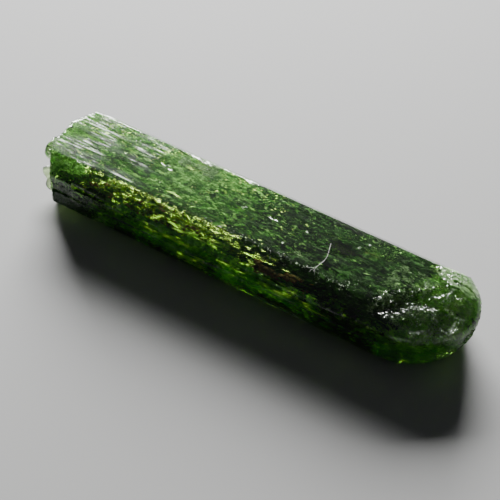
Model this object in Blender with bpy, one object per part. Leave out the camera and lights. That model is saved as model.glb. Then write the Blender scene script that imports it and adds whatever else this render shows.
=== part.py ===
# A natural diopside crystal: one long eight-sided prism, lying on its widest flat face.
# Metres, +Z up. The length runs along X, the back is +Y, and the crystal rests on z = 0.
# The origin is the middle of the box that holds the crystal, at its base.

import math

import bmesh
import bpy
from mathutils import Matrix, Vector

MM = 0.001

# Driving dimensions, in millimetres
LENGTH = 24.0
WIDTH = 5.2
HEIGHT = 3.35
BEVEL = 0.85  # leg of the bevels along the top
FRONT_FOOT_BEVEL = 0.7  # leg of the bevel along the lower front
BACK_FOOT_BEVEL = 0.6  # leg of the bevel along the lower back
STEP_RUN = 0.04  # width of the small wall between two growth steps
MERGE_DISTANCE = 0.002  # points of the extruded outline closer than this are one
PLANE_BLOCK = 36.0  # edge of the blocks that cut along a plane

# The eight sides in the order that the outline passes them, and on each side its growth
# steps: a distance across the side, and the depth of the strip that starts there
SIDES = ("top", "front_bevel", "front", "front_foot", "bottom", "back_foot", "back", "back_bevel")
GROWTH_STEPS = {
    "front_bevel": ((0.3, 0.05), (0.75, 0.0)),
    "front": ((0.45, 0.06), (0.95, 0.0)),
    "back": ((0.6, 0.06), (1.1, 0.0)),
}

# Ledges where a growth layer stops part of the way along the crystal. Each is on one side,
# from a sharp step to the place where it runs out: side, x of the step, x of the run-out,
# nearest and furthest distance across the side, and depth at the step
LEDGES = (
    ("front_bevel", -6.1, -0.4, 0.78, 1.4, 0.17),
    ("front_bevel", -1.2, 4.6, 0.82, 1.4, 0.13),
    ("front_bevel", 6.6, 1.6, 0.84, 1.4, 0.15),
    ("front", -9.0, -2.2, -0.1, 0.26, 0.13),
    ("front", 2.1, 7.4, -0.1, 0.22, 0.12),
    ("front", 0.9, 6.2, 1.24, 1.8, 0.12),
    ("top", 8.3, 3.9, 2.95, 3.6, 0.05),
    ("back", -6.6, 0.8, 0.3, 0.55, 0.1),
    ("back", 7.6, 2.2, 1.3, 1.95, 0.12),
    ("back_foot", 2.9, 8.8, -0.2, 1.1, 0.15),
)
LEDGE_RISE = 0.5  # how far a ledge's wedge stands out of the side
LEDGE_OVERRUN = 0.02  # how far the wedge is clear of the side where it runs out

# The broken left end: a face across the crystal, and its two corners broken off
LEFT_FACES = (
    ((-11.2, 0.0, 3.35), (-0.98, 0.03, -0.17)),
    ((-11.1, -1.3, 3.35), (-0.86, -0.51, 0.0)),
    ((-10.9, 1.05, 3.35), (-0.9, 0.42, 0.17)),
)
# Blocks that parted from the left end and left steps: lowest and highest corner, and the
# turn about X that sets them off from the prism, in degrees
PARTED_BLOCKS = (
    ((-13.0, 0.95, -2.0), (-10.82, 4.0, 1.75), 9.0),
    ((-13.0, -0.75, 2.35), (-11.08, 0.3, 5.0), -6.0),
)
# Small blocky knobs of growth stand out of the left end: centre, half sizes, and their
# turns about X and Z, in degrees
KNOBS = (
    ((-10.9, -1.2, 2.75), (0.55, 0.46, 0.4), 20.0, 8.0),
    ((-11.262, -1.22, 1.2), (0.64, 0.46, 0.44), 40.0, -28.0),
    ((-10.72, -1.72, 0.95), (0.52, 0.36, 0.33), 14.0, 10.0),
    ((-11.05, 0.25, 1.9), (0.52, 0.5, 0.4), 30.0, 5.0),
    ((-10.95, -0.5, 0.85), (0.5, 0.45, 0.36), 5.0, -8.0),
    ((-10.75, 1.3, 1.3), (0.5, 0.4, 0.55), 15.0, 0.0),
    ((-9.9, 1.88, 2.9), (0.6, 0.26, 0.3), 40.0, 3.0),
)
KNOB_ROUNDING = 0.42  # how much of a knob's half size its rounded edges take
KNOB_SEGMENTS = 2

# The broken right end: a blunt nose, a shelf at the back and two slopes at the front
NOSE_CENTRE = (6.64, 0.4, 2.16)
NOSE_REACH = 5.38
NOSE_HALF_WIDTH = 3.42
NOSE_RISE = 1.6
NOSE_DROP = 4.1
NOSE_SEGMENTS = 40
NOSE_RINGS = 20
ROUND_OFF = 0.001  # points this close to a ball's middle plane count as on it
RIGHT_SLOPES = (
    ((9.27, 1.48, 3.35), (0.2, 0.27, 0.94)),
    ((8.45, -0.58, 3.35), (0.24, -0.27, 0.933)),
    ((10.2, -2.0, 2.49), (0.45, -0.62, 0.64)),
)

# Shell-shaped chips. Those on the top lie at a place (x, y); each has a half length, a half
# width, a depth and the turn of its length from X, in degrees
TOP_CHIPS = (
    (8.75, -1.05, 1.15, 0.5, 0.13, 20),
    (9.55, -0.35, 0.75, 0.5, 0.17, -35),
    (10.85, -0.95, 0.95, 0.55, 0.16, 40),
    (10.0, 0.45, 0.95, 0.3, 0.1, 14),
    (8.2, -1.75, 0.7, 0.3, 0.12, 5),
    (9.75, -1.6, 0.7, 0.42, 0.12, -20),
    (11.2, 0.15, 0.6, 0.4, 0.13, -50),
    (-3.9, 1.85, 0.7, 0.2, 0.1, 0),
    (-1.2, 1.8, 0.28, 0.16, 0.08, 0),
)
# The others also give the way that they face
SIDE_CHIPS = (
    ((11.85, 0.95, 1.5), (0.95, 0.25, 0.02), 1.25, 0.62, 0.15, 35),
    ((11.7, -0.1, 1.0), (0.95, -0.15, -0.15), 1.0, 0.5, 0.13, 80),
    ((11.3, -1.1, 1.0), (0.8, -0.5, -0.2), 0.8, 0.45, 0.1, -20),
    ((10.9, 2.0, 1.3), (0.65, 0.75, -0.05), 1.1, 0.55, 0.17, 70),
    ((10.1, 2.6, 1.9), (0.35, 0.93, 0.1), 0.9, 0.4, 0.12, 15),
    ((-7.4, -2.6, 1.0), (-0.1, -0.95, -0.3), 0.9, 0.3, 0.13, 80),
    ((3.3, 2.6, 0.7), (0.05, 0.8, -0.6), 0.9, 0.35, 0.13, 90),
    ((-10.9, 0.1, 0.5), (-0.95, 0.05, -0.3), 0.8, 0.45, 0.15, 0),
    ((-10.35, 1.75, 2.3), (-0.72, 0.67, 0.1), 0.6, 0.45, 0.14, 30),
)
HOLLOW_STEEPNESS = 4.0  # the ball that cuts a hollow is this many depths thick, centre to face
CHIP_DETAIL = 4

# Etch pits on the top: x, y, half width and depth
PITS = (
    (-5.26, 0.38, 0.13, 0.05),
    (1.07, 0.2, 0.07, 0.03),
)
PIT_STRETCH = 1.6  # length over width
PIT_DETAIL = 3

# A three-sided hollow between the chips, the corner of a small cube
CORNER_PIT = (10.48, -0.18)
CORNER_PIT_EDGE = 1.5
CORNER_PIT_DEPTH = 0.36

CRYSTAL_NAME = "diopside_crystal"
CRYSTAL_COLOUR = (0.03, 0.16, 0.02, 1.0)
CRYSTAL_ROUGHNESS = 0.12
CRYSTAL_IOR = 1.68


def clear_scene():
    for old in list(bpy.data.objects):
        bpy.data.objects.remove(old, do_unlink=True)


def add_collection(name):
    collection = bpy.data.collections.new(name)
    bpy.context.scene.collection.children.link(collection)
    return collection


def add_mesh_object(name, bm, collection):
    mesh = bpy.data.meshes.new(name)
    bm.to_mesh(mesh)
    bm.free()
    new_object = bpy.data.objects.new(name, mesh)
    collection.objects.link(new_object)
    return new_object


def crystal_material():
    material = bpy.data.materials.new("green_crystal")
    material.use_nodes = True
    shader = material.node_tree.nodes["Principled BSDF"]
    shader.inputs["Base Color"].default_value = CRYSTAL_COLOUR
    shader.inputs["Roughness"].default_value = CRYSTAL_ROUGHNESS
    shader.inputs["Metallic"].default_value = 0.0
    shader.inputs["IOR"].default_value = CRYSTAL_IOR
    shader.inputs["Transmission Weight"].default_value = 1.0
    material.diffuse_color = CRYSTAL_COLOUR
    return material


def section_corners():
    """The eight corners of the cross-section as (y, z), from the back end of the top."""
    half = WIDTH / 2
    top = HEIGHT
    return (
        (half - BEVEL, top),
        (-half + BEVEL, top),
        (-half, top - BEVEL),
        (-half, FRONT_FOOT_BEVEL),
        (-half + FRONT_FOOT_BEVEL, 0.0),
        (half - BACK_FOOT_BEVEL, 0.0),
        (half, BACK_FOOT_BEVEL),
        (half, top - BEVEL),
    )


def side_frame(side):
    """Start corner, direction across and outward direction of one side, in (y, z)."""
    corners = section_corners()
    index = SIDES.index(side)
    start = Vector(corners[index])
    across = (Vector(corners[(index + 1) % len(corners)]) - start).normalized()
    outward = Vector((-across.y, across.x))
    if outward.dot(start - Vector((0.0, HEIGHT / 2))) < 0:
        outward = -outward
    return start, across, outward


def section_outline():
    """The outline of the cross-section, with the growth steps that run the whole length."""
    points = []
    for side in SIDES:
        start, across, outward = side_frame(side)
        points.append(start)
        depth = 0.0
        for place, next_depth in GROWTH_STEPS.get(side, ()):
            points.append(start + across * place - outward * depth)
            points.append(start + across * (place + STEP_RUN) - outward * next_depth)
            depth = next_depth
    return points


def extrude_section(collection):
    """A flat outline extruded along X and made a closed mesh."""
    outline = section_outline()
    curve = bpy.data.curves.new("section", "CURVE")
    curve.dimensions = "2D"
    curve.fill_mode = "BOTH"
    curve.extrude = LENGTH / 2 * MM
    spline = curve.splines.new("POLY")
    spline.points.add(len(outline) - 1)
    for point, place in zip(spline.points, outline):
        point.co = (place.x * MM, place.y * MM, 0.0, 1.0)
    spline.use_cyclic_u = True
    guide = bpy.data.objects.new("section", curve)
    collection.objects.link(guide)
    # the outline's own x, y and z become the crystal's y, z and x
    guide.matrix_world = Matrix(((0, 0, 1, 0), (1, 0, 0, 0), (0, 1, 0, 0), (0, 0, 0, 1)))
    bpy.context.view_layer.update()
    evaluated = guide.evaluated_get(bpy.context.evaluated_depsgraph_get())
    mesh = bpy.data.meshes.new_from_object(evaluated)
    mesh.name = CRYSTAL_NAME
    crystal = bpy.data.objects.new(CRYSTAL_NAME, mesh)
    collection.objects.link(crystal)
    mesh.transform(guide.matrix_world)
    bpy.data.objects.remove(guide, do_unlink=True)
    bm = bmesh.new()
    bm.from_mesh(mesh)
    bmesh.ops.remove_doubles(bm, verts=bm.verts, dist=MERGE_DISTANCE * MM)
    bmesh.ops.recalc_face_normals(bm, faces=bm.faces)
    bm.to_mesh(mesh)
    bm.free()
    return crystal


def turn_to(direction):
    """The turn that brings local +Z to a direction."""
    return Vector(direction).to_track_quat("Z", "Y").to_matrix().to_4x4()


def half_space(name, point, outward, collection):
    """A large block that takes away all that lies outside a plane."""
    size = PLANE_BLOCK * MM
    bm = bmesh.new()
    bmesh.ops.create_cube(bm, size=size)
    place = Matrix.Translation(Vector(point) * MM)
    lift = Matrix.Translation((0.0, 0.0, size / 2))
    bmesh.ops.transform(bm, verts=bm.verts, matrix=place @ turn_to(outward) @ lift)
    return add_mesh_object(name, bm, collection)


def top_surface(x, y):
    """The point of the top above a place in plan, and the way that the surface faces there."""
    level, facing = HEIGHT, Vector((0.0, 0.0, 1.0))
    for point, outward in RIGHT_SLOPES:
        slope = Vector(outward).normalized()
        z = point[2] - (slope.x * (x - point[0]) + slope.y * (y - point[1])) / slope.z
        if z < level:
            level, facing = z, slope
    return Vector((x, y, level)), facing


def shell_hollow(name, point, outward, half_length, half_width, depth, turn, detail, collection):
    """A squashed ball that leaves a shell-shaped hollow of a given rim and depth."""
    facing = Vector(outward).normalized()
    thick = depth * HOLLOW_STEEPNESS
    rim_share = math.sqrt(1.0 - (1.0 - 1.0 / HOLLOW_STEEPNESS) ** 2)
    squash = Matrix.Diagonal((half_length / rim_share, half_width / rim_share, thick, 1.0))
    spin = Matrix.Rotation(math.radians(turn), 4, "Z")
    centre = Vector(point) + facing * (thick - depth)
    bm = bmesh.new()
    bmesh.ops.create_icosphere(bm, subdivisions=detail, radius=1.0)
    place = Matrix.Translation(centre) @ turn_to(facing) @ spin @ squash
    bmesh.ops.transform(bm, verts=bm.verts, matrix=Matrix.Scale(MM, 4) @ place)
    return add_mesh_object(name, bm, collection)


def nose_envelope(collection):
    """A blunt bullet that the crystal's right end stays within."""
    bm = bmesh.new()
    bmesh.ops.create_uvsphere(bm, u_segments=NOSE_SEGMENTS, v_segments=NOSE_RINGS, radius=1.0)
    for vertex in bm.verts:
        behind = vertex.co.x < -ROUND_OFF
        vertex.co.x *= NOSE_REACH
        vertex.co.y *= NOSE_HALF_WIDTH
        vertex.co.z *= NOSE_RISE if vertex.co.z > 0 else NOSE_DROP
        if behind:
            vertex.co.x -= LENGTH
    place = Matrix.Translation(Vector(NOSE_CENTRE) * MM) @ Matrix.Scale(MM, 4)
    bmesh.ops.transform(bm, verts=bm.verts, matrix=place)
    return add_mesh_object("nose_envelope", bm, collection)


def ledge_cutter(name, side, step_x, end_x, near, far, depth, collection):
    """A wedge that bites in at a sharp step and rises out of the side where it ends."""
    start, across, outward = side_frame(side)
    bm = bmesh.new()
    bmesh.ops.create_cube(bm, size=1.0)
    for vertex in bm.verts:
        at_step = vertex.co.x < 0
        inner = vertex.co.z < 0
        x = step_x if at_step else end_x
        place = near if vertex.co.y < 0 else far
        level = LEDGE_RISE
        if inner:
            level = -depth if at_step else LEDGE_OVERRUN
        point = start + across * place + outward * level
        vertex.co = Vector((x, point.x, point.y))
    bm.normal_update()
    bmesh.ops.recalc_face_normals(bm, faces=bm.faces)
    bmesh.ops.scale(bm, verts=bm.verts, vec=(MM, MM, MM))
    return add_mesh_object(name, bm, collection)


def corner_pit_cutter(collection):
    """A small cube that stands on one corner and dips into the chips."""
    corner_down = Matrix.Rotation(math.atan(math.sqrt(2)), 4, "X") @ Matrix.Rotation(math.pi / 4, 4, "Z")
    reach = CORNER_PIT_EDGE * math.sqrt(3) / 2 - CORNER_PIT_DEPTH
    point, facing = top_surface(*CORNER_PIT)
    place = Matrix.Translation(point + facing * reach) @ turn_to(facing) @ corner_down
    bm = bmesh.new()
    bmesh.ops.create_cube(bm, size=CORNER_PIT_EDGE)
    bmesh.ops.transform(bm, verts=bm.verts, matrix=Matrix.Scale(MM, 4) @ place)
    return add_mesh_object("corner_pit", bm, collection)


def growth_knob(name, centre, half_sizes, turn, lean, collection):
    """A small block with rounded edges."""
    bm = bmesh.new()
    bmesh.ops.create_cube(bm, size=2.0)
    bmesh.ops.bevel(bm, geom=bm.edges[:], offset=KNOB_ROUNDING, segments=KNOB_SEGMENTS, profile=0.5,
                    affect="EDGES")
    turns = Matrix.Rotation(math.radians(lean), 4, "Z") @ Matrix.Rotation(math.radians(turn), 4, "X")
    place = Matrix.Translation(Vector(centre)) @ turns @ Matrix.Diagonal((*half_sizes, 1.0))
    bmesh.ops.transform(bm, verts=bm.verts, matrix=Matrix.Scale(MM, 4) @ place)
    return add_mesh_object(name, bm, collection)


def apply_boolean(crystal, tool, operation="DIFFERENCE"):
    tool.hide_render = True
    tool.display_type = "WIRE"
    modifier = crystal.modifiers.new(tool.name, "BOOLEAN")
    modifier.operation = operation
    modifier.solver = "EXACT"
    modifier.object = tool


def parted_block(name, low, high, turn, collection):
    """A block turned a little about X, which leaves a stepped break."""
    centre = (Vector(low) + Vector(high)) / 2
    size = Vector(high) - Vector(low)
    bm = bmesh.new()
    bmesh.ops.create_cube(bm, size=1.0)
    place = Matrix.Translation(centre) @ Matrix.Rotation(math.radians(turn), 4, "X")
    place = place @ Matrix.Diagonal((*size, 1.0))
    bmesh.ops.transform(bm, verts=bm.verts, matrix=Matrix.Scale(MM, 4) @ place)
    return add_mesh_object(name, bm, collection)


def shape_left_end(crystal, cutters):
    for number, face in enumerate(LEFT_FACES, 1):
        apply_boolean(crystal, half_space(f"left_face_{number}", *face, cutters))
    for number, block in enumerate(PARTED_BLOCKS, 1):
        apply_boolean(crystal, parted_block(f"parted_block_{number}", *block, cutters))
    for number, knob in enumerate(KNOBS, 1):
        apply_boolean(crystal, growth_knob(f"knob_{number}", *knob, cutters), "UNION")


def shape_right_end(crystal, cutters):
    apply_boolean(crystal, nose_envelope(cutters), "INTERSECT")
    for number, slope in enumerate(RIGHT_SLOPES, 1):
        apply_boolean(crystal, half_space(f"right_slope_{number}", *slope, cutters))


def shape_sides(crystal, cutters):
    for number, ledge in enumerate(LEDGES, 1):
        apply_boolean(crystal, ledge_cutter(f"ledge_{number}", *ledge, cutters))


def chip_surface(crystal, cutters):
    for number, (x, y, *shape) in enumerate(TOP_CHIPS, 1):
        point, facing = top_surface(x, y)
        hollow = shell_hollow(f"top_chip_{number}", point, facing, *shape, CHIP_DETAIL, cutters)
        apply_boolean(crystal, hollow)
    for number, chip in enumerate(SIDE_CHIPS, 1):
        apply_boolean(crystal, shell_hollow(f"side_chip_{number}", *chip, CHIP_DETAIL, cutters))
    for number, (x, y, half_width, depth) in enumerate(PITS, 1):
        point, facing = top_surface(x, y)
        shape = (PIT_STRETCH * half_width, half_width, depth, 0.0)
        apply_boolean(crystal, shell_hollow(f"pit_{number}", point, facing, *shape, PIT_DETAIL, cutters))
    apply_boolean(crystal, corner_pit_cutter(cutters))


def build_crystal():
    parts = add_collection(CRYSTAL_NAME)
    cutters = add_collection("cutters")
    crystal = extrude_section(parts)
    crystal.data.materials.append(crystal_material())
    shape_right_end(crystal, cutters)
    shape_sides(crystal, cutters)
    shape_left_end(crystal, cutters)
    chip_surface(crystal, cutters)


clear_scene()
build_crystal()
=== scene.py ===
import math

import bpy
import numpy as np
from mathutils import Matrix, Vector


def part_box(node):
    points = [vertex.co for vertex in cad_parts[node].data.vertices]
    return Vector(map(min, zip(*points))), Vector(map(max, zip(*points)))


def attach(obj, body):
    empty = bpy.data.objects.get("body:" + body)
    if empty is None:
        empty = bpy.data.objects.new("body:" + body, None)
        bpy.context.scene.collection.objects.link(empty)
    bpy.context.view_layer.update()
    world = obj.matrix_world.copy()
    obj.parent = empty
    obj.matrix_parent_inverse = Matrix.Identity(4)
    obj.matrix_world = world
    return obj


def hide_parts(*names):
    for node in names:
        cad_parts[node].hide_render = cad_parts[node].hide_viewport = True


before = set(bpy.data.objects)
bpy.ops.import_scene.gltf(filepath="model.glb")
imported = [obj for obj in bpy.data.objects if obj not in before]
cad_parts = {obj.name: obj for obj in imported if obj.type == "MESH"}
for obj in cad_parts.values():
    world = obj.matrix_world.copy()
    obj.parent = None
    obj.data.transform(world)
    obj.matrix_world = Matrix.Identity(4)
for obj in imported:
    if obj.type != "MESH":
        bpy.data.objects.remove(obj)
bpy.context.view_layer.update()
mm = 0.001
farAway = 1e3  # mm, further off than anything that a ray can meet
crystalReach = 50.0  # mm, past the crystal from any place in it
leastSlant = 0.2  # rays flatter to a side than this are taken at this slant when it is sunk

# The crystal's own box, in millimetres: every size below is worked out from it where it can be
lowCorner, highCorner = (np.array(corner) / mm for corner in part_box("diopside_crystal"))
crystalLength, crystalWidth, crystalHeight = highCorner - lowCorner
print("frame loaded, crystal is", np.round([crystalLength, crystalWidth, crystalHeight], 2), "mm")

latticeTable = 4096  # random values that the noises share out, a power of two
latticePrimes = (73856093, 19349663, 83492791)


def smoothStep(low, high, value):
    # 0 below low, 1 above high, and 3t^2 - 2t^3 between them
    t = np.clip((value - low) / (high - low), 0.0, 1.0)
    return t * t * (3.0 - 2.0 * t)


def latticeNoise(seed, *coords):
    # Random values on a whole-number lattice, blended with smooth steps: about -1 to 1
    table = np.random.default_rng(seed).uniform(-1.0, 1.0, latticeTable)
    cells = [np.floor(c).astype(np.int64) for c in coords]
    parts = [c - cell for c, cell in zip(coords, cells)]
    parts = [t * t * (3.0 - 2.0 * t) for t in parts]
    total = 0.0
    for corner in range(2 ** len(coords)):
        key = 0
        weight = 1.0
        for axis, (cell, t) in enumerate(zip(cells, parts)):
            bit = (corner >> axis) & 1
            key = key ^ ((cell + bit) * latticePrimes[axis])
            weight = weight * (t if bit else 1.0 - t)
        total = total + weight * table[key & (latticeTable - 1)]
    return total


def fractalNoise(seed, octaves, *coords):
    # Lattice noise added to itself at half the size and half the strength, each time shifted
    total = 0.0
    for octave in range(octaves):
        scaled = [c * 2.0 ** octave + 17.3 * octave for c in coords]
        total = total + latticeNoise(seed + octave, *scaled) * 0.5 ** octave
    return total


def facetNoise(seed, size, points):
    # Broken ground: space is split among scattered seeds, and each seed's part is one tilted
    # plane, the seed's own slope times the way from it, about -0.5 to 0.5 times the size
    tables = np.random.default_rng(seed).uniform(-1.0, 1.0, (6, latticeTable))
    scaled = points / size
    cell = np.floor(scaled).astype(np.int64)
    best = np.full(points.shape[:-1], np.inf)
    value = np.zeros(points.shape[:-1])
    for step in np.ndindex(3, 3, 3):
        other = cell + np.array(step) - 1
        hashed = other * latticePrimes
        key = (hashed[..., 0] ^ hashed[..., 1] ^ hashed[..., 2]) & (latticeTable - 1)
        offset = scaled - other - 0.5 - 0.45 * np.moveaxis(tables[:3, key], 0, -1)
        distance = (offset * offset).sum(-1)
        nearer = distance < best
        best = np.where(nearer, distance, best)
        slope = (offset * np.moveaxis(tables[3:, key], 0, -1)).sum(-1)
        value = np.where(nearer, slope, value)
    return value * size


crystal = {
    "bevel": 0.85,
    "frontFootBevel": 0.7,
    "backFootBevel": 0.6,
    "axisHeight": 1.7,           # the line that all the surface is seen from
    "leftTurn": -9.0,            # x where the long body ends and the left cap starts
    "rightTurn": 7.5,
    "columns": {"top": 128, "frontBevel": 40, "front": 40, "frontFoot": 16,
                "bottom": 20, "backFoot": 10, "back": 32, "backBevel": 28},
    "rows": (70, 96, 146),       # left cap, long body, right cap
    "stepRun": 0.04,             # how far across a side a growth step takes to sink
    "ledgeRun": 0.03,            # and a ledge's edges
    "wander": 0.03,              # how far the steps stray across the side
    "sharpFrom": 28,             # degrees past which an edge is sharp
    # how frosted each kind of surface is, from 0 to 1
    "milk": 0.09, "ridgeFrost": 0.3, "leftFrost": 0.04, "slopeFrost": 0.12, "chipFrost": 0.15,
    "pitFrost": 0.05,
}

# On each side: where a growth step lies across it, and the depth of the strip that starts there
growthSteps = {
    "frontBevel": ((0.3, 0.05), (0.75, 0.0)),
    "front": ((0.45, 0.06), (0.95, 0.0)),
    "back": ((0.6, 0.06), (1.1, 0.0)),
}

# Ledges: side, x of the sharp step, x where it runs out, reach across the side, depth
ledges = (
    ("frontBevel", -6.1, -0.4, 0.78, 1.4, 0.17),
    ("frontBevel", -1.2, 4.6, 0.82, 1.4, 0.13),
    ("frontBevel", 6.6, 1.6, 0.84, 1.4, 0.15),
    ("front", -9.0, -2.2, -0.1, 0.26, 0.13),
    ("front", 2.1, 7.4, -0.1, 0.22, 0.12),
    ("front", 0.9, 6.2, 1.24, 1.8, 0.12),
    ("top", 8.3, 3.9, 2.95, 3.6, 0.05),
    ("back", -6.6, 0.8, 0.3, 0.55, 0.1),
    ("back", 7.6, 2.2, 1.3, 1.95, 0.12),
    ("backFoot", 2.9, 8.8, -0.2, 1.1, 0.15),
)

# End faces: a point on each and the way that it faces
leftFaces = (
    ((-11.2, 0.0, 3.35), (-0.98, 0.03, -0.17)),
    ((-11.1, -1.3, 3.35), (-0.86, -0.51, 0.0)),
    ((-10.9, 1.05, 3.35), (-0.9, 0.42, 0.17)),
)
# Blocks parted off the left end: low corner, high corner, turn about X in degrees
partedBlocks = (
    ((-13.0, 0.95, -2.0), (-10.82, 4.0, 1.75), 9.0),
    ((-13.0, -0.75, 2.35), (-11.08, 0.3, 5.0), -6.0),
)
# Knobs: centre, half sizes, turns about X and Z in degrees, frost
knobs = (
    ((-10.9, -1.2, 2.75), (0.55, 0.46, 0.4), 20.0, 8.0, 0.05),
    ((-11.262, -1.22, 1.2), (0.64, 0.46, 0.44), 40.0, -28.0, 0.35),
    ((-10.72, -1.72, 0.95), (0.52, 0.36, 0.33), 14.0, 10.0, 0.3),
    ((-11.05, 0.25, 1.9), (0.52, 0.5, 0.4), 30.0, 5.0, 0.3),
    ((-10.95, -0.5, 0.85), (0.5, 0.45, 0.36), 5.0, -8.0, 0.3),
    ((-10.75, 1.3, 1.3), (0.5, 0.4, 0.55), 15.0, 0.0, 0.3),
    ((-9.9, 1.88, 2.9), (0.6, 0.26, 0.3), 40.0, 3.0, 0.3),
)
knobRounding = 1.22  # the ball that rounds a knob's corners off, over the knob's half size
# The right end's nose: a ball stretched one way above its centre and another way below it
nose = {"centre": (6.64, 0.4, 2.16), "reach": 5.38, "halfWidth": 3.42, "rise": 1.6, "drop": 4.1}
rightSlopes = (
    ((9.27, 1.48, 3.35), (0.2, 0.27, 0.94)),
    ((8.45, -0.58, 3.35), (0.24, -0.27, 0.933)),
    ((10.2, -2.0, 2.49), (0.45, -0.62, 0.64)),
)
noseThickness = 2.0  # mm that the way from the nose's surface to its centre is taken as
# Chips on the top: x, y, half length, half width, depth, turn of the length from X in degrees
topChips = (
    (8.75, -1.05, 1.15, 0.5, 0.13, 20),
    (9.55, -0.35, 0.75, 0.5, 0.17, -35),
    (10.85, -0.95, 0.95, 0.55, 0.16, 40),
    (10.0, 0.45, 0.95, 0.3, 0.1, 14),
    (8.2, -1.75, 0.7, 0.3, 0.12, 5),
    (9.75, -1.6, 0.7, 0.42, 0.12, -20),
    (11.2, 0.15, 0.6, 0.4, 0.13, -50),
    (-3.9, 1.85, 0.7, 0.2, 0.1, 0),
    (-1.2, 1.8, 0.28, 0.16, 0.08, 0),
)
# Chips on the sides and ends: a point, the way it faces, and the same four numbers
sideChips = (
    ((11.85, 0.95, 1.5), (0.95, 0.25, 0.02), 1.25, 0.62, 0.15, 35),
    ((11.7, -0.1, 1.0), (0.95, -0.15, -0.15), 1.0, 0.5, 0.13, 80),
    ((11.3, -1.1, 1.0), (0.8, -0.5, -0.2), 0.8, 0.45, 0.1, -20),
    ((10.9, 2.0, 1.3), (0.65, 0.75, -0.05), 1.1, 0.55, 0.17, 70),
    ((10.1, 2.6, 1.9), (0.35, 0.93, 0.1), 0.9, 0.4, 0.12, 15),
    ((-7.4, -2.6, 1.0), (-0.1, -0.95, -0.3), 0.9, 0.3, 0.13, 80),
    ((3.3, 2.6, 0.7), (0.05, 0.8, -0.6), 0.9, 0.35, 0.13, 90),
    ((-10.9, 0.1, 0.5), (-0.95, 0.05, -0.3), 0.8, 0.45, 0.15, 0),
    ((-10.35, 1.75, 2.3), (-0.72, 0.67, 0.1), 0.6, 0.45, 0.14, 30),
)
# Pits on the top: x, y, half width, depth
pits = (
    (-5.26, 0.38, 0.13, 0.05),
    (1.07, 0.2, 0.07, 0.03),
)
pitStretch = 1.6  # length over width
cornerPit = {"place": (10.48, -0.18), "edge": 1.5, "depth": 0.36}
hollowSteepness = 4.0  # a hollow's ball reaches this many depths from its centre to its deepest point
sideNames = tuple(crystal["columns"])
# Depth in mm of the fine lines on each side; none on the underside, which it rests on
lineDepths = {
    "top": 0.00132, "frontBevel": 0.008, "front": 0.006, "frontFoot": 0.006,
    "bottom": 0.0, "backFoot": 0.005, "back": 0.006, "backBevel": 0.0045,
}
# Noises of the fine lines: width across, length along and share; and the value they vary about
lineNoises = ((0.22, 5.0, 0.9), (0.11, 3.0, 0.45))
lineMiddle = 0.6
# Ridges on the top's left third: x where they are whole and x where they end, on both sides,
# their height, the height of the swells between them, and the thin ones' share
ridges = {
    "left": (-10.7, -11.05), "right": (-6.5, -4.5), "height": 0.005, "swell": 0.003, "thinShare": 0.7,
    # their noises: seed, width across, length along, and the values where they start and are whole
    "groups": (46, 0.9, 1.3, -0.15, 0.25), "wide": (43, 0.06, 1.2, 0.5, 0.8),
    "thin": (44, 0.045, 0.7, 0.4, 0.75),
}
# Broken ground: seed, size in mm and share of each of two facet noises
endGrain = ((5, 0.24, 0.36), (6, 0.13, 0.3))
chipGrain = ((6, 0.2, 0.63), (7, 0.11, 0.7))


def unit(vector):
    # The vector over its own length
    vector = np.array(vector, float)
    return vector / np.linalg.norm(vector)


def turnAbout(axis, degrees):
    # The rotation matrix about one of the three axes
    a, b = ((1, 2), (2, 0), (0, 1))["xyz".index(axis)]
    matrix = np.eye(3)
    c, s = math.cos(math.radians(degrees)), math.sin(math.radians(degrees))
    matrix[a, a], matrix[a, b], matrix[b, a], matrix[b, b] = c, -s, s, c
    return matrix


def axesFacing(direction):
    # Columns x, y, z with z along a direction and y as far up as it can be
    z = unit(direction)
    up = np.array((0.0, 1.0, 0.0)) if abs(z[2]) > 0.9999 else np.array((0.0, 0.0, 1.0))
    y = unit(up - z * (up @ z))
    return np.stack([np.cross(y, z), y, z], axis=1)


def sectionCorners():
    # The eight corners of the section as (y, z), from the back end of the top
    half, top = crystalWidth / 2, crystalHeight
    bevel, frontFoot, backFoot = crystal["bevel"], crystal["frontFootBevel"], crystal["backFootBevel"]
    return np.array([(half - bevel, top), (-half + bevel, top), (-half, top - bevel),
                     (-half, frontFoot), (-half + frontFoot, 0.0), (half - backFoot, 0.0),
                     (half, backFoot), (half, top - bevel)])


def sideFrame(side):
    # A side's starting corner, the way across it and the way into the crystal, as 3-D vectors
    corners = sectionCorners()
    index = sideNames.index(side)
    start, end = corners[index], corners[(index + 1) % len(corners)]
    across = unit(end - start)
    inward = np.array((-across[1], across[0]))
    inward *= -np.sign(inward @ (start - np.array((0.0, crystal["axisHeight"]))))
    return np.array((0.0, *start)), np.array((0.0, *across)), np.array((0.0, *inward))


def middleAndHalf(low, high):
    # A block's centre and half sizes
    return (np.array(low) + np.array(high)) / 2, (np.array(high) - np.array(low)) / 2


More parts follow.
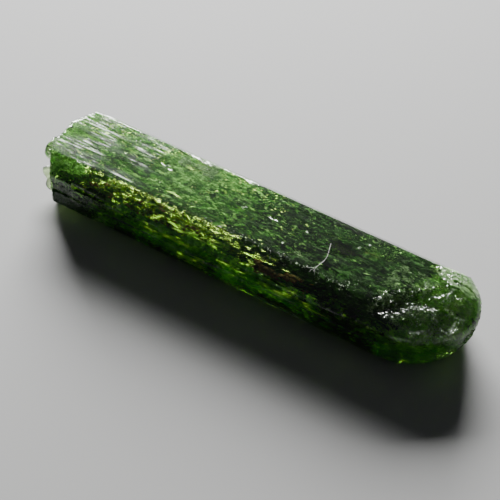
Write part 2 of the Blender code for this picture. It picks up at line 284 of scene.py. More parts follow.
def raysFromAxis():
    # Column angles follow the section's corners. Rows are even along the body, and in a cap
    # they turn from the side to the tip as points spaced evenly round an ellipse would
    corners = sectionCorners()
    edges = np.roll(corners, -1, axis=0) - corners
    outline = np.concatenate([corners[i] + edges[i] * np.linspace(0, 1, n, endpoint=False)[:, None]
                              for i, n in enumerate(crystal["columns"].values())])
    theta = np.arctan2(outline[:, 1] - crystal["axisHeight"], outline[:, 0])
    leftRows, bodyRows, rightRows = crystal["rows"]
    halfWidth = crystalWidth / 2
    tilts, places = [], []
    caps = ((-1, crystal["leftTurn"], leftRows), (1, crystal["rightTurn"], rightRows))
    for end, turn, count in caps:
        reach = crystalLength / 2 - abs(turn)
        t = np.linspace(0, math.pi / 2, count + 1)[1:-1]
        tilts.append(end * np.arctan2(reach * np.sin(t), halfWidth * np.cos(t)))
        places.append(np.full(count - 1, turn))
    body = np.linspace(crystal["leftTurn"], crystal["rightTurn"], bodyRows + 1)
    tilt = np.concatenate([tilts[0][::-1], np.zeros(bodyRows + 1), tilts[1]])
    place = np.concatenate([places[0], body, places[1]])
    origin = np.zeros((len(tilt), len(theta), 3))
    origin[..., 0] = place[:, None]
    origin[..., 2] = crystal["axisHeight"]
    along, out = np.sin(tilt)[:, None], np.cos(tilt)[:, None]
    direction = np.stack(np.broadcast_arrays(along, out * np.cos(theta), out * np.sin(theta)), axis=-1)
    return origin, direction


def reachToPlane(origin, direction, point, normal):
    # Distance along a ray to a plane, which is the straight gap to it over the ray's slant, or a
    # very long way if the ray leaves it behind
    normal = unit(normal)
    facing = direction @ normal
    gap = (np.array(point) - origin) @ normal
    return np.where(facing > 1e-6, gap / np.maximum(facing, 1e-6), farAway)


def reachIntoBall(origin, direction, centre, axes, halfSizes):
    # Distances at which a ray enters and leaves a stretched ball: the two roots of the square
    # equation that the ball's own sizes turn it into; nan where it misses
    o = (origin - np.array(centre)) @ axes / np.array(halfSizes)
    d = direction @ axes / np.array(halfSizes)
    a = (d * d).sum(-1)
    b = (o * d).sum(-1)
    c = (o * o).sum(-1) - 1.0
    under = b * b - a * c
    root = np.sqrt(np.where(under > 0, under, np.nan))
    return (-b - root) / a, (-b + root) / a


def reachIntoBlock(origin, direction, centre, axes, halfSizes):
    # Distances at which a ray enters and leaves a turned block: the last of its three near
    # planes and the first of its three far ones; nan where it misses
    o = (origin - np.array(centre)) @ axes
    d = direction @ axes
    d = np.where(np.abs(d) < 1e-9, 1e-9, d)
    near = (-np.sign(d) * halfSizes - o) / d
    far = (np.sign(d) * halfSizes - o) / d
    enter, leave = near.max(-1), far.min(-1)
    hit = leave > np.maximum(enter, 0.0)
    return np.where(hit, enter, np.nan), np.where(hit, leave, np.nan)


def topSurface(x, y):
    # The top above a place in plan, which is the lowest of the flat top and the slopes, and the
    # way that it faces there
    level, facing = crystalHeight, np.array((0.0, 0.0, 1.0))
    for point, outward in rightSlopes:
        slope = unit(outward)
        z = point[2] - (slope[0] * (x - point[0]) + slope[1] * (y - point[1])) / slope[2]
        if z < level:
            level, facing = z, slope
    return np.array((x, y, level)), facing


def sideDepth(side, across, x):
    # How far growth steps and ledges sink one side: the steps as a broken line across it that
    # wanders with x, and each ledge as a wedge that is deepest at its step
    depth = np.zeros_like(x)
    steps = growthSteps.get(side, ())
    if steps:
        places, depths, level = [], [], 0.0
        for place, nextLevel in steps:
            places += [place, place + crystal["stepRun"]]
            depths += [level, nextLevel]
            level = nextLevel
        wander = crystal["wander"] * latticeNoise(3, x * 0.35, across * 0 + len(side))
        depth = np.interp(across + wander, places, depths)
    for name, stepX, endX, near, far, ledgeDepth in ledges:
        if name != side:
            continue
        along = (x - stepX) / (endX - stepX)
        wedge = np.where((along > 0) & (along < 1), ledgeDepth * (1 - along), 0.0)
        run = crystal["ledgeRun"]
        inside = smoothStep(near - 0.02, near + run, across) * smoothStep(far + 0.02, far - run, across)
        depth = np.maximum(depth, wedge * inside)
    return depth


def drawnOut(across, x, seed, wide, long, low, high):
    # Where a noise drawn out along x passes a threshold, from 0 to 1
    return smoothStep(low, high, latticeNoise(seed, across / wide, x / long))


def topRidges(across, x):
    # Thin sharp ridges in groups on the top's left third: two drawn-out noises where they pass
    # a threshold, times a broad one
    group = drawnOut(across, x, *ridges["groups"])
    for whole, ended in (ridges["right"], ridges["left"]):
        group = group * smoothStep(ended, whole, x)
    wide, thin = drawnOut(across, x, *ridges["wide"]), drawnOut(across, x, *ridges["thin"])
    return group * np.clip(wide + ridges["thinShare"] * thin, 0.0, 1.0)


def fineLines(side, across, x):
    # Long narrow bands: noise squeezed across the side and drawn out along it
    seed = 40 + 10 * sideNames.index(side)
    bands = sum(share * latticeNoise(seed + i, across / wide, x / long)
                for i, (wide, long, share) in enumerate(lineNoises))
    lines = lineDepths[side] * (bands + lineMiddle)
    if side == "top":
        swell = latticeNoise(45, across / 0.3, x / 0.8)
        lines = lines - ridges["height"] * topRidges(across, x) + ridges["swell"] * swell
    return lines


def chipTools():
    # Every shell-shaped hollow as a stretched ball that stands out of the surface by its height
    # less the hollow's depth: centre, axes, half sizes
    rim = math.sqrt(1.0 - (1.0 - 1.0 / hollowSteepness) ** 2)
    shapes = []
    for x, y, *shape in topChips:
        shapes.append((*topSurface(x, y), *shape))
    for x, y, halfWidth, depth in pits:
        shapes.append((*topSurface(x, y), pitStretch * halfWidth, halfWidth, depth, 0.0))
    shapes += sideChips
    tools = []
    for point, outward, halfLength, halfWidth, depth, turn in shapes:
        axes = axesFacing(outward) @ turnAbout("z", turn)
        thick = depth * hollowSteepness
        centre = np.array(point) + unit(outward) * (thick - depth)
        tools.append((centre, axes, (halfLength / rim, halfWidth / rim, thick)))
    return tools


def reachToSides(origin, direction):
    # The nearest of the eight sides, each one sunk by its steps, ledges and fine lines
    reach = np.full(direction.shape[:2], farAway)
    for side in sideNames:
        start, across, inward = sideFrame(side)
        flat = reachToPlane(origin, direction, start, -inward)
        hit = origin + direction * np.minimum(flat, crystalReach)[..., None]
        place = (hit - start) @ across
        sunk = sideDepth(side, place, hit[..., 0]) + fineLines(side, place, hit[..., 0])
        reach = np.minimum(reach, flat - sunk / np.maximum(direction @ -inward, leastSlant))
    return reach


def topFrost(spot):
    # How frosted the top is: a drawn-out noise that grows to the left, and the ridges
    onTop = spot[..., 2] > crystalHeight - 0.1
    blots = 0.01 + 0.1 * fractalNoise(8, 3, spot[..., 0] / 1.2, spot[..., 1] / 0.3)
    milk = smoothStep(-3.5, -9.0, spot[..., 0]) * onTop * np.clip(blots, 0.0, crystal["milk"])
    across = crystalWidth / 2 - crystal["bevel"] - spot[..., 1]
    return milk + crystal["ridgeFrost"] * topRidges(across, spot[..., 0]) * onTop


def reachToNose(origin, direction, reach):
    # Right of the nose's centre its ball stands in for the sides wherever it is nearer: one
    # ball above the centre and another below it
    for rising in (True, False):
        sizes = (nose["reach"], nose["halfWidth"], nose["rise"] if rising else nose["drop"])
        _, leave = reachIntoBall(origin, direction, nose["centre"], np.eye(3), sizes)
        hit = origin + direction * leave[..., None]
        use = ((hit[..., 2] > nose["centre"][2]) == rising) & (hit[..., 0] > nose["centre"][0])
        reach = np.where(use & (leave < reach), leave, reach)
    return reach


def brokenGround(spot, grains):
    # Facet noises of several sizes, each times its share
    return sum(share * facetNoise(seed, size, spot) for seed, size, share in grains)


def cornerPitBlock():
    # A cube that stands on one corner, sunk into the top: centre, axes, half sizes
    point, facing = topSurface(*cornerPit["place"])
    onCorner = turnAbout("x", math.degrees(math.atan(math.sqrt(2)))) @ turnAbout("z", 45)
    half = cornerPit["edge"] / 2
    centre = point + facing * (half * math.sqrt(3) - cornerPit["depth"])
    return centre, axesFacing(facing) @ onCorner, np.full(3, half)


def crystalSurface():
    # Along each ray from the axis the surface is the nearest of the sides, end faces, slopes
    # and nose; blocks and chips cut it back to where they start, and knobs push it out
    origin, direction = raysFromAxis()
    reach = reachToSides(origin, direction)
    frost = topFrost(origin + direction * reach[..., None])
    reach = reachToNose(origin, direction, reach)
    spot = origin + direction * reach[..., None]
    grain, fineGrain = brokenGround(spot, endGrain), brokenGround(spot, chipGrain)
    for faces, white in ((leftFaces, crystal["leftFrost"]), (rightSlopes, crystal["slopeFrost"])):
        for point, outward in faces:
            flat = reachToPlane(origin, direction, point, outward) + grain
            frost = np.where(flat < reach, white, frost)
            reach = np.minimum(reach, flat)
    for low, high, turn in partedBlocks:
        centre, sizes = middleAndHalf(low, high)
        enter, _ = reachIntoBlock(origin, direction, centre, turnAbout("x", turn), sizes)
        reach = np.fmin(reach, np.where(enter > 0, enter, np.nan))
    for centre, axes, sizes in chipTools():
        enter, _ = reachIntoBall(origin, direction, centre, axes, sizes)
        enter = np.where(enter > 0, enter, np.nan) + fineGrain
        frost = np.where(enter < reach, crystal["chipFrost"], frost)
        reach = np.fmin(reach, enter)
    enter, _ = reachIntoBlock(origin, direction, *cornerPitBlock())
    enter = np.where(enter > 0, enter, np.nan)
    frost = np.where(enter < reach, crystal["pitFrost"], frost)
    reach = np.fmin(reach, enter)
    for centre, sizes, turn, lean, white in knobs:
        axes = turnAbout("z", lean) @ turnAbout("x", turn)
        enter, leave = reachIntoBlock(origin, direction, centre, axes, np.array(sizes))
        rounding = np.array(sizes) * knobRounding
        enterRound, leaveRound = reachIntoBall(origin, direction, centre, axes, rounding)
        out = np.where(np.isnan(leave) | np.isnan(leaveRound), np.nan, np.fmin(leave, leaveRound))
        out = np.where(np.fmax(enter, enterRound) < reach, out, np.nan)
        frost = np.where(out > reach, white, frost)
        reach = np.fmax(reach, out)
    return origin + direction * reach[..., None], frost


def tubeFaces(points, poles, used=0):
    # A grid of rings joined in order, with a fan of triangles to a pole at each end; used is
    # how many points the mesh has before these
    rows, columns = points.shape[:2]
    index = used + np.arange(rows * columns).reshape(rows, columns)
    right = np.roll(index, -1, axis=1)
    quads = np.stack([index[:-1], right[:-1], right[1:], index[1:]], axis=-1).reshape(-1, 4)
    first, last = index[-1, -1] + 1, index[-1, -1] + 2
    startFan = np.stack([np.full(columns, first), right[0], index[0]], axis=-1)
    endFan = np.stack([np.full(columns, last), index[-1], right[-1]], axis=-1)
    faces = quads.tolist() + startFan.tolist() + endFan.tolist()
    return np.concatenate([points.reshape(-1, 3), poles]), faces


def addPiece(name, vertices, faces, material, smooth=False):
    # A mesh with its own object and finish, that goes where the part goes
    mesh = bpy.data.meshes.new(name)
    mesh.from_pydata((vertices * mm).tolist(), [], faces)
    mesh.update()
    if smooth:
        mesh.shade_smooth()
    mesh.materials.append(material)
    piece = bpy.data.objects.new(name, mesh)
    bpy.context.scene.collection.objects.link(piece)
    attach(piece, "root")
    return piece


def makeCrystal(material):
    # The surface's grid, closed by a pole at each end, with the frost kept on its points
    points, frost = crystalSurface()
    vertices, faces = tubeFaces(points, np.array([points[0].mean(0), points[-1].mean(0)]))
    piece = addPiece("crystal", vertices, faces, material, smooth=True)
    poles = frost[0].mean(keepdims=True), frost[-1].mean(keepdims=True)
    values = np.concatenate([frost.reshape(-1), *poles]).astype(np.float32)
    piece.data.attributes.new("frost", "FLOAT", "POINT").data.foreach_set("value", values)
    piece.data.set_sharp_from_angle(angle=math.radians(crystal["sharpFrom"]))
    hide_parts("diopside_crystal")
    reached = points.min((0, 1)).round(3), points.max((0, 1)).round(3)
    print("crystal has", len(faces), "faces, from", reached[0], "to", reached[1])
    return points


def insideDepth(points):
    # How deep places lie under the surface: the least of the distances to every face and hollow
    depth = np.full(len(points), farAway)
    for side in sideNames:
        start, across, inward = sideFrame(side)
        off = points - start
        depth = np.minimum(depth, off @ inward - sideDepth(side, off @ across, points[:, 0]))
    for point, outward in leftFaces + rightSlopes:
        depth = np.minimum(depth, (np.array(point) - points) @ unit(outward))
    off = points - np.array(nose["centre"])
    rise = np.where(off[:, 2] > 0, nose["rise"], nose["drop"])
    sizes = np.stack(np.broadcast_arrays(nose["reach"], nose["halfWidth"], rise), axis=1)
    inNose = (1 - np.linalg.norm(off / sizes, axis=1)) * noseThickness
    depth = np.where(off[:, 0] > 0, np.minimum(depth, inNose), depth)
    for centre, axes, sizes in chipTools():
        off = (np.linalg.norm((points - centre) @ axes / np.array(sizes), axis=1) - 1) * min(sizes)
        depth = np.minimum(depth, off)
    for low, high, turn in partedBlocks:
        centre, sizes = middleAndHalf(low, high)
        off = (np.abs((points - centre) @ turnAbout("x", turn)) - sizes).max(axis=1)
        depth = np.minimum(depth, off)
    return depth


cornerDrift = 0.3  # how far a flake's corners stray round it, in radians
cornerReach = (0.55, 1.0)  # and how far out they lie, over the flake's size


def flakeShapes(centres, normals, along, sizes, stretch, settings, generator):
    # Each flake is a flat double pyramid: uneven corners round a middle, and a point on each face
    count, corners = len(centres), settings["corners"]
    side = np.cross(normals, along)
    side /= np.linalg.norm(side, axis=1, keepdims=True)
    forward = np.cross(side, normals)
    drift = generator.uniform(-cornerDrift, cornerDrift, (count, corners))
    angle = np.arange(corners) * 2 * math.pi / corners + drift
    reach = sizes[:, None] * generator.uniform(*cornerReach, (count, corners))
    u = (np.cos(angle) * reach * stretch[:, None])[..., None] * forward[:, None]
    v = (np.sin(angle) * reach)[..., None] * side[:, None]
    rim = centres[:, None] + u + v
    lift = (settings["thickness"] * sizes)[:, None] * normals
    points = np.concatenate([rim, (centres + lift)[:, None], (centres - lift)[:, None]], axis=1)
    ring = np.arange(corners)
    upper = np.stack([ring, (ring + 1) % corners, np.full(corners, corners)], axis=1)
    lower = np.stack([(ring + 1) % corners, ring, np.full(corners, corners + 1)], axis=1)
    first = (np.arange(count) * (corners + 2))[:, None, None]
    return points.reshape(-1, 3), (np.concatenate([upper, lower])[None] + first).reshape(-1, 3)


def keepFlakes(points, triangles, kept):
    # The points and triangles of the flakes that are kept
    points = points.reshape(len(kept), -1, 3)[kept].reshape(-1, 3)
    return points, triangles.reshape(len(kept), -1)[:kept.sum()].reshape(-1, 3)


def flakePlaces(settings, generator):
    # Random places, kept where a drawn-out noise is high. A group that names a side is spread by
    # x, place across that side and depth, and one that leans lies deeper with its place across
    spots = generator.uniform(settings["low"], settings["high"], (settings["tries"], 3))
    places = spots
    if settings["side"]:
        start, across, inward = sideFrame(settings["side"])
        sunk = spots[:, 2:] + settings["lean"] * spots[:, 1:2]
        places = start + spots[:, :1] * (1.0, 0.0, 0.0) + spots[:, 1:2] * across + sunk * inward
    patch = settings["patch"]
    cloud = fractalNoise(settings["seed"], 3, *(places[:, i] / patch[i] for i in range(3)))
    return places[cloud > settings["threshold"]]


def flakeTurns(count, settings, generator):
    # The way that each flake faces: the group's own way, mixed with a chance turn about X, and
    # a normal spread on each axis
    turn = generator.uniform(0, 2 * math.pi, count)
    around = np.stack([np.zeros(count), np.sin(turn), np.cos(turn)], axis=1)
    share = settings["loose"]
    normals = np.array(settings["lie"]) * (1 - share) + around * share
    normals += generator.normal(0, 1, (count, 3)) * settings["tilt"] * (settings["pitch"], 1.0, 1.0)
    return normals / np.linalg.norm(normals, axis=1, keepdims=True)


def flakeGroup(settings):
    # One group's flakes: places that lie deep enough under the surface, a size, a turn and a
    # stretch for each, and only those whose points all stay inside
    generator = np.random.default_rng(settings["seed"])
    places = flakePlaces(settings, generator)
    sizes = np.exp(generator.normal(math.log(settings["size"]), settings["spread"], len(places)))
    depth = insideDepth(places)
    least, most = settings["depth"]
    keep = (depth > least + 0.5 * sizes) & (depth < most)  # larger ones lie deeper by half of it
    keep &= generator.uniform(0, 1, len(places)) < np.interp(places[:, 0], *settings["share"])
    keep &= places[:, 1] + clearSlope * (crystalHeight - places[:, 2]) > settings["clear"]
    places, sizes = places[keep][:settings["count"]], sizes[keep][:settings["count"]]
    count = len(places)
    normals = flakeTurns(count, settings, generator)
    along = np.array((1.0, 0.0, 0.0)) + generator.normal(0, settings["stray"], (count, 3))
    stretch = generator.uniform(*settings["stretch"], count)
    points, triangles = flakeShapes(places, normals, along, sizes, stretch, settings, generator)
    sealed = insideDepth(points).reshape(count, -1).min(axis=1) > settings["cover"]
    return keepFlakes(points, triangles, sealed)


def scatterInside(name, material, groups):
    # All the groups of one piece, joined into one mesh
    vertices, faces, used = [], [], 0
    for group in groups:
        points, triangles = flakeGroup(group)
        vertices.append(points)
        faces.append(triangles + used)
        used += len(points)
        print(name, len(points) // (group["corners"] + 2), "flakes")
    addPiece(name, np.concatenate(vertices), np.concatenate(faces).tolist(), material)


# What a group of flakes does unless it says otherwise. Lengths are in mm
flakeHabits = {
    # the box that places are drawn from, in the crystal's own axes, or in x, place across and
    # depth where a side is named; lean is how much deeper they lie for each mm across it
    "side": None, "low": (-11.3, -2.6, 0.1), "high": (11.5, 2.6, 3.3), "lean": 0.0,
    # the size of the noise's patches, and how high it has to be: -9 keeps them all
    "patch": (2.0, 0.7, 0.7), "threshold": -9.0,
    # how widely the sizes vary, as a logarithm; length over width; thickness over size
    "spread": 0.4, "corners": 4, "stretch": (1.0, 2.5), "thickness": 0.18,
    # the way that they face, how much of it is a chance turn about X, how far they tilt from
    # it, that tilt's share along X, and how far their length strays from X
    "lie": (0.0, 0.0, 1.0), "loose": 0.0, "tilt": 0.3, "pitch": 1.0, "stray": 0.25,
    # the least and greatest depth of their middles, and the least depth of their points
    "depth": (0.06, 9.0), "cover": 0.02,
    # places along x, and the share that is kept at each
    "share": ((0.0, 1.0), (1.0, 1.0)),
    # the least y of a flake at the top's level, which keeps the light's way to the front open
    "clear": -9.0,
}
clearSlope = 0.55  # how much further forward than that a flake may lie for each mm under the top
# The ways that the films face
topLie = (-0.085, 0.037, 0.996)
bevelLie = (-0.093, -0.147, 0.985)
frontLie = (-0.0735, -0.314, 0.946)
frontPatchLie = (-0.0555, -0.304, 0.951)
beamLie = (-0.08, -0.1, 0.97)


def flakes(seed, tries, count, size, **others):
    # A group of flakes: its seed, how many places are drawn, the most that are kept, their size
    return {**flakeHabits, "seed": seed, "tries": tries, "count": count, "size": size, **others}


cloudFlakes = (
    flakes(11, 240000, 22000, 0.036, low=(-11.3, -1.75, 0.1), patch=(1.4, 0.5, 0.5), threshold=0.05,
           spread=0.55, depth=(0.07, 1.2), clear=-1.2, loose=0.3,
           share=((-11, -3.4, -2, -0.5, 1, 3, 4.5, 7.0, 8.5),
                  (1.0, 1.0, 0.6, 0.25, 0.16, 0.12, 0.04, 0.04, 0.6))),
)
cornerHabits = {"side": "frontBevel", "patch": (0.8, 0.4, 0.4), "threshold": -0.2,
                "lie": (-0.1, -0.3, 0.95), "tilt": 0.4}
largeCloudFlakes = (
    flakes(17, 80000, 5000, 0.045, low=(-11.3, -1.9, 0.1), threshold=0.1, depth=(0.3, 1.6), clear=-1.2,
           loose=0.5, tilt=0.35, stretch=(1.0, 3.0),
           share=((-11, -2, 0, 2, 4.5, 7.0, 8.5), (1.0, 0.9, 0.35, 0.2, 0.06, 0.03, 0.6))),
    flakes(19, 40000, 2600, 0.04, low=(-11, -1.7, 1.0), high=(10, 1.8, 3.3), patch=(1.0, 0.4, 0.4),
           threshold=0.1, depth=(0.06, 0.5), clear=-1.2, loose=0.2, tilt=0.2, stray=0.12,
           stretch=(2.0, 5.0), share=((-11, -3, 0, 2, 5, 10), (1.0, 0.9, 0.35, 0.25, 0.08, 0.25))),
    # a bright veil across the top
    flakes(16, 12000, 1500, 0.04, low=(-5.6, -0.9, 2.6), high=(-2.2, 1.6, 3.3), patch=(0.9, 0.35, 0.35),
           threshold=-0.05, depth=(0.05, 0.4), lie=topLie, tilt=0.2, stray=0.12, stretch=(1.0, 4.0),
           share=((-5.6, -4.8, -3.0, -2.2), (0.2, 1.0, 1.0, 0.2))),
    # a lighter patch at the back of the dark part
    flakes(18, 6000, 700, 0.035, low=(4.6, 0.9, 2.6), high=(7.4, 1.8, 3.28), patch=(0.8, 0.4, 0.4),
           threshold=0.0, loose=0.3),
    # the left end's faces
    flakes(14, 20000, 2600, 0.032, low=(-11.8, -1.9, 1.6), high=(-10.2, 2.3, 3.33),
           patch=(0.8, 0.4, 0.4), threshold=-0.2, depth=(0.03, 0.35), loose=0.5, tilt=0.5),
    # the rounded right end
    flakes(21, 30000, 3600, 0.03, low=(9.5, -2.6, 0.1), high=(12.0, 2.6, 2.9), patch=(0.8, 0.8, 0.8),
           threshold=-0.2, depth=(0.05, 0.6), loose=0.5, tilt=0.6),
    # the left end of the front bevel, and its lower corner
    flakes(22, 6000, 1000, 0.035, low=(-11.0, -0.1, 0.08), high=(-8.4, 0.7, 0.8), **cornerHabits),
    flakes(26, 3000, 400, 0.035, low=(-11.0, 0.5, 0.08), high=(-10.2, 1.4, 0.8), **cornerHabits),
)
beamHabits = {"side": "front", "patch": (1.6, 0.35, 0.5), "threshold": -0.05, "lie": beamLie,
              "tilt": 0.22, "stray": 0.1, "stretch": (1.5, 5.0)}
frontFlakes = (
    flakes(20, 20000, 3000, 0.04, low=(-6.5, 0.5, 0.6), high=(-0.5, 1.9, 1.6),
           share=((-6.5, -4.5, -1), (0.1, 0.7, 1.0)), **beamHabits),
    flakes(24, 30000, 4600, 0.04, low=(-0.5, 0.35, 0.3), high=(11.5, 1.9, 1.4),
           share=((-0.5, 3.0, 4.8, 6, 8, 9), (1.0, 0.8, 0.45, 0.06, 0.06, 1.0)), **beamHabits),
    # the emerald glow low in the right end
    flakes(25, 20000, 1500, 0.04, low=(8.2, -2.6, 0.1), high=(11.6, -0.4, 1.7), patch=(1.0, 0.5, 0.3),
           threshold=-0.15, lie=(-0.11, 0.05, 0.99), tilt=0.25, stretch=(1.0, 4.0)),
)
deepFlakes = (
    flakes(29, 20000, 2600, 0.08, low=(-10.8, -1.8, 0.2), high=(10.8, 2.1, 2.7), corners=5,
           depth=(0.4, 9.0), clear=-1.2, loose=0.3, stretch=(1.0, 3.5),
           share=((-11, 2, 4.5, 7.2, 8.5), (1.0, 1.0, 0.3, 0.3, 1.0))),
    # a backing behind the top's veils
    flakes(36, 12000, 3600, 0.065, low=(-9.5, -1.45, 2.2), high=(3.0, 1.8, 3.05), corners=5,
           depth=(0.15, 1.0), clear=-1.2, loose=0.15, stray=0.1, stretch=(1.0, 5.0)),
)
dimFlakes = (
    flakes(34, 70000, 11000, 0.065, low=(-1.0, -1.9, 1.6), high=(9.0, 2.1, 3.25), patch=(1.2, 0.5, 0.5),
           threshold=-0.35, corners=5, depth=(0.1, 0.9), clear=-1.4, loose=0.3, tilt=0.35, stray=0.12,
           stretch=(1.0, 5.0),
           share=((-1.0, 1.4, 3.5, 4.5, 8.0, 9.0), (0.0, 0.35, 0.9, 0.8, 0.7, 0.2))),
)
darkHabits = {"patch": (1.5, 0.5, 0.5), "threshold": -0.2, "corners": 6, "depth": (0.08, 9.0),
              "tilt": 0.05, "stray": 0.05, "stretch": (1.0, 3.0)}
darkFlakes = (
    # dark flakes in a layer inside the back's right part, which shut out the light from the back
    flakes(30, 5000, 1500, 0.12, side="back", low=(3.6, -0.1, 0.12), high=(7.0, 1.9, 0.35),
           lie=(0.0, 1.0, 0.0), **darkHabits),
    flakes(28, 3000, 900, 0.1, side="backBevel", low=(3.6, 0.0, 0.12), high=(7.0, 1.2, 0.35),
           lie=(0.0, 0.7, 0.7), **darkHabits),
)
glintFlakes = (
    flakes(23, 12000, 900, 0.022, patch=(2.5, 1.0, 1.0), threshold=-0.1, corners=5, depth=(0.05, 1.0),
           lie=(-0.1, -0.05, 0.98), tilt=0.25, stretch=(1.0, 3.0), thickness=0.05),
)
goldHabits = {"side": "frontBevel", "lie": bevelLie, "thickness": 0.05}
goldFlakes = (
    # crumpled foil under the front bevel's left part
    flakes(31, 11000, 2000, 0.042, low=(-9.0, 0.0, 0.05), high=(-1.0, 1.1, 0.13),
           patch=(0.3, 0.12, 0.2), threshold=0.1, corners=5, lean=0.65, tilt=0.13, stray=0.12,
           stretch=(1.0, 3.5),
           share=((-9.0, -8.2, -7.4, -6, -4.5, -1.0), (0.05, 0.2, 0.7, 1.0, 1.0, 0.6)), **goldHabits),
    # streaks that run on from it
    flakes(32, 1800, 260, 0.018, low=(-6.0, -0.05, 0.08), high=(0.4, 1.1, 0.16), patch=(1.4, 0.2, 0.2),
           threshold=0.0, lean=0.65, tilt=0.12, pitch=0.15, stray=0.02, stretch=(5.0, 18.0),
           **goldHabits),
    flakes(33, 900, 50, 0.024, low=(-0.4, 0.1, 0.1), high=(3.4, 1.2, 0.25), patch=(2.0, 0.3, 0.3),
           threshold=0.1, lean=0.4, tilt=0.2, pitch=0.15, stray=0.02, stretch=(5.0, 16.0),
           **goldHabits),
)
brightHabits = {"thickness": 0.04}
brightFlakes = (
    # sparks under the top
    flakes(40, 20000, 900, 0.035, low=(-10.8, -1.7, 2.3), high=(5.0, 1.75, 3.25),
           patch=(0.7, 0.35, 0.35), threshold=0.3, lie=topLie, tilt=0.22, stretch=(1.0, 3.0),
           share=((-10.8, -1, 2, 5), (1.0, 1.0, 0.5, 0.15)), **brightHabits),
    # and more of them along the back edge
    flakes(47, 9000, 800, 0.035, low=(-9.5, 0.7, 2.5), high=(1.5, 1.75, 3.28), patch=(0.5, 0.3, 0.3),
           threshold=0.15, lie=topLie, tilt=0.16, share=((-9.5, -6, -3, 1.5), (0.4, 1.0, 1.0, 0.2)),
           **brightHabits),
    # long bright lines behind the front face and the lower bevel
    flakes(41, 30, 30, 0.04, side="front", low=(-4.8, 0.46, 0.13), high=(-2.2, 0.68, 0.24),
           lie=frontLie, tilt=0.06, stray=0.008, stretch=(6.0, 16.0), **brightHabits),
    flakes(48, 24, 24, 0.04, side="frontBevel", low=(-3.4, 0.7, 0.34), high=(-0.6, 1.1, 0.5),
           lie=bevelLie, tilt=0.07, stray=0.01, stretch=(5.0, 12.0), **brightHabits),
    flakes(49, 36, 36, 0.034, side="front", low=(-2.4, 0.5, 0.12), high=(5.6, 1.1, 0.26), lie=frontLie,
           tilt=0.1, stray=0.012, stretch=(4.0, 12.0), **brightHabits),
    # bright patches there
    flakes(42, 300, 120, 0.045, side="front", low=(-2.7, 1.2, 0.1), high=(-1.1, 1.7, 0.3),
           lie=frontPatchLie, tilt=0.2, stray=0.05, stretch=(1.5, 6.0), **brightHabits),
    flakes(43, 90, 70, 0.035, side="front", low=(3.4, 0.5, 0.13), high=(4.8, 0.74, 0.24),
           lie=frontPatchLie, tilt=0.1, stray=0.05, stretch=(1.5, 5.0), **brightHabits),
    flakes(44, 60, 40, 0.035, side="frontBevel", low=(1.2, 0.8, 0.34), high=(2.1, 1.15, 0.46),
           lie=bevelLie, tilt=0.08, stray=0.05, stretch=(1.5, 4.0), **brightHabits),
    # one long flaw under the top
    flakes(46, 6, 3, 0.03, low=(-4.5, -1.02, 3.15), high=(-3.5, -0.94, 3.25), lie=topLie, tilt=0.03,
           stray=0.01, stretch=(9.0, 12.0), **brightHabits),
)
# Brown films behind the front bevel, from left to right
stainFlakes = (
    flakes(51, 300, 70, 0.055, side="frontBevel", low=(-8.1, 0.3, 0.12), high=(-6.7, 0.8, 0.2),
           patch=(0.6, 0.3, 0.3), threshold=0.1, corners=6),
    flakes(52, 900, 130, 0.045, side="frontBevel", low=(-4.4, 0.3, 0.1), high=(-1.6, 0.7, 0.16),
           patch=(0.8, 0.25, 0.25), threshold=0.0, corners=6, stretch=(1.0, 4.0)),
    flakes(54, 4000, 260, 0.03, side="frontBevel", low=(-8.8, 0.15, 0.02), high=(-2.4, 1.1, 0.1),
           patch=(0.16, 0.3, 0.2), threshold=0.38, corners=5, lean=0.4),
    flakes(53, 1500, 620, 0.06, side="frontBevel", low=(1.6, 0.6, 0.1), high=(5.0, 1.2, 0.18),
           patch=(1.2, 0.3, 0.3), threshold=-0.05, corners=6, stretch=(1.0, 4.0)),
)
paleFlakes = (
    # the frosted shelf at the back of the right end, and the bright chip on the back edge
    flakes(61, 12000, 700, 0.1, low=(9.5, 1.1, 1.9), high=(11.3, 2.4, 3.35), patch=(0.7, 0.5, 0.5),
           threshold=-0.35, corners=7, depth=(-0.02, 0.09), cover=-0.03, lie=(0.2, 0.27, 0.94),
           tilt=0.06, thickness=0.1),
    flakes(62, 9000, 1500, 0.04, low=(-4.9, 0.9, 2.7), high=(-2.9, 1.8, 3.35), patch=(0.6, 0.25, 0.4),
           threshold=-0.1, depth=(0.02, 0.2), loose=0.2),
    # crushed ground under the right end's chips
    flakes(63, 160000, 9000, 0.024, low=(7.6, -2.1, 2.0), high=(11.6, 0.9, 3.35),
           patch=(0.5, 0.22, 0.25), threshold=0.1, depth=(0.005, 0.12), cover=0.0, loose=0.6, tilt=0.5),
    # a small feather-shaped flaw
    flakes(64, 16, 16, 0.018, low=(3.14, -1.32, 3.2), high=(3.46, -1.0, 3.3), tilt=0.1, stray=2.0,
           stretch=(3.0, 8.0)),
)
# Each piece's finish and its groups of flakes
flakePieces = {
    "cloud": ("cloud", cloudFlakes),
    "largeCloud": ("cloud", largeCloudFlakes),
    "frontCloud": ("glow", frontFlakes),
    "deepCloud": ("deep", deepFlakes),
    "dimCloud": ("dim", dimFlakes),
    "darkBackLayer": ("dark", darkFlakes),
    "glints": ("glint", glintFlakes),
    "goldVeil": ("gold", goldFlakes),
    "brightStreaks": ("bright", brightFlakes),
    "stain": ("rust", stainFlakes),
    "paleShelf": ("shelf", paleFlakes),
}

